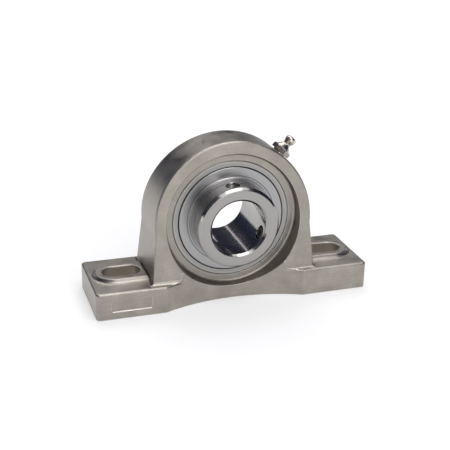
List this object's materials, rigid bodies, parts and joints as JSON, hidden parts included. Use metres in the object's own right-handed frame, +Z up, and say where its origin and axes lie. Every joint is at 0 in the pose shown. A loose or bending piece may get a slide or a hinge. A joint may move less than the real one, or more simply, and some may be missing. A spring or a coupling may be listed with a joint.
{
  "type": "pillow block bearing",
  "caption": "Two-bolt pillow block with a self-aligning insert ball bearing, locked to its shaft by set screws, with slotted feet and a grease nipple.",
  "frame": {"origin": "middle of the two bolt slots, on the mounting plane under the feet", "axes": "+X along the feet, +Y along the shaft away from the set-screw end, +Z up from the mounting plane"},
  "size_m": [0.163, 0.0489, 0.0939],
  "materials": {
    "cast_stainless": "satin cast and tumbled stainless steel",
    "ground_steel": "ground bearing steel",
    "polished_steel": "polished bearing steel",
    "pressed_steel": "pressed steel strip",
    "nitrile_rubber": "matt nitrile rubber",
    "flinger_steel": "pressed stainless sheet",
    "screw_steel": "turned stainless steel",
    "nipple_steel": "turned bright steel",
    "spring_wire": "drawn spring wire",
    "ball_steel": "lapped bearing ball"
  },
  "bodies": {
    "housing": {"housing": "cast_stainless", "nipple_body": "nipple_steel", "nipple_spring_rest": "nipple_steel", "nipple_spring": "spring_wire"},
    "outer_ring": {"outer_ring": "ground_steel", "front_seal_shell": "pressed_steel", "rear_seal_shell": "pressed_steel", "front_seal_lip": "nitrile_rubber", "rear_seal_lip": "nitrile_rubber"},
    "inner_ring": {"inner_ring": "polished_steel", "front_flinger": "flinger_steel", "rear_flinger": "flinger_steel"},
    "cage": {"cage_front_half": "pressed_steel", "cage_rear_half": "pressed_steel", "cage_rivets": "pressed_steel"},
    "set_screw_top": {"set_screw_top": "screw_steel"},
    "set_screw_side": {"set_screw_side": "screw_steel"},
    "nipple_check_ball": {"nipple_check_ball": "ball_steel"},
    "ball_1": {"ball_1": "ball_steel"},
    "ball_2": {"ball_2": "ball_steel"},
    "ball_3": {"ball_3": "ball_steel"},
    "ball_4": {"ball_4": "ball_steel"},
    "ball_5": {"ball_5": "ball_steel"},
    "ball_6": {"ball_6": "ball_steel"},
    "ball_7": {"ball_7": "ball_steel"},
    "ball_8": {"ball_8": "ball_steel"},
    "ball_9": {"ball_9": "ball_steel"}
  },
  "joints": [
    {"name": "self_align", "type": "hinge", "parent": "housing", "child": "outer_ring", "pos_m": [0, 0, 0.0476], "axis": [1, 0, 0], "range_deg": [-2, 2]},
    {"name": "shaft_spin", "type": "hinge", "parent": "outer_ring", "child": "inner_ring", "pos_m": [0, 0, 0.0476], "axis": [0, 1, 0], "continuous": true},
    {"name": "cage_orbit", "type": "hinge", "parent": "outer_ring", "child": "cage", "pos_m": [0, 0, 0.0476], "axis": [0, 1, 0], "continuous": true},
    {"name": "ball_1_roll", "type": "hinge", "parent": "cage", "child": "ball_1", "pos_m": [0, 0, 0.07435], "axis": [0, 1, 0], "continuous": true},
    {"name": "ball_2_roll", "type": "hinge", "parent": "cage", "child": "ball_2", "pos_m": [0.01719, 0, 0.06809], "axis": [0, 1, 0], "continuous": true},
    {"name": "ball_3_roll", "type": "hinge", "parent": "cage", "child": "ball_3", "pos_m": [0.02634, 0, 0.05225], "axis": [0, 1, 0], "continuous": true},
    {"name": "ball_4_roll", "type": "hinge", "parent": "cage", "child": "ball_4", "pos_m": [0.02317, 0, 0.03422], "axis": [0, 1, 0], "continuous": true},
    {"name": "ball_5_roll", "type": "hinge", "parent": "cage", "child": "ball_5", "pos_m": [0.00915, 0, 0.02246], "axis": [0, 1, 0], "continuous": true},
    {"name": "ball_6_roll", "type": "hinge", "parent": "cage", "child": "ball_6", "pos_m": [-0.00915, 0, 0.02246], "axis": [0, 1, 0], "continuous": true},
    {"name": "ball_7_roll", "type": "hinge", "parent": "cage", "child": "ball_7", "pos_m": [-0.02317, 0, 0.03422], "axis": [0, 1, 0], "continuous": true},
    {"name": "ball_8_roll", "type": "hinge", "parent": "cage", "child": "ball_8", "pos_m": [-0.02634, 0, 0.05225], "axis": [0, 1, 0], "continuous": true},
    {"name": "ball_9_roll", "type": "hinge", "parent": "cage", "child": "ball_9", "pos_m": [-0.01719, 0, 0.06809], "axis": [0, 1, 0], "continuous": true},
    {"name": "set_screw_top_travel", "type": "slide", "parent": "inner_ring", "child": "set_screw_top", "axis": [-0.0958, 0, 0.9954], "range_m": [-0.0012, 0.003]},
    {"name": "set_screw_side_travel", "type": "slide", "parent": "inner_ring", "child": "set_screw_side", "axis": [0.91, 0, -0.4147], "range_m": [-0.0012, 0.003]},
    {"name": "nipple_check", "type": "slide", "parent": "housing", "child": "nipple_check_ball", "axis": [-0.7133, 0, -0.7009], "range_m": [0, 0.0008], "stiffness_N_per_m": 300, "springref_m": -0.001, "deforming": ["nipple_spring"]}
  ],
  "couplings": [
    {"joint": "cage_orbit", "follows": "shaft_spin", "ratio": 0.39615},
    {"joint": "ball_1_roll", "follows": "shaft_spin", "ratio": -2.3035},
    {"joint": "ball_2_roll", "follows": "shaft_spin", "ratio": -2.3035},
    {"joint": "ball_3_roll", "follows": "shaft_spin", "ratio": -2.3035},
    {"joint": "ball_4_roll", "follows": "shaft_spin", "ratio": -2.3035},
    {"joint": "ball_5_roll", "follows": "shaft_spin", "ratio": -2.3035},
    {"joint": "ball_6_roll", "follows": "shaft_spin", "ratio": -2.3035},
    {"joint": "ball_7_roll", "follows": "shaft_spin", "ratio": -2.3035},
    {"joint": "ball_8_roll", "follows": "shaft_spin", "ratio": -2.3035},
    {"joint": "ball_9_roll", "follows": "shaft_spin", "ratio": -2.3035}
  ]
}
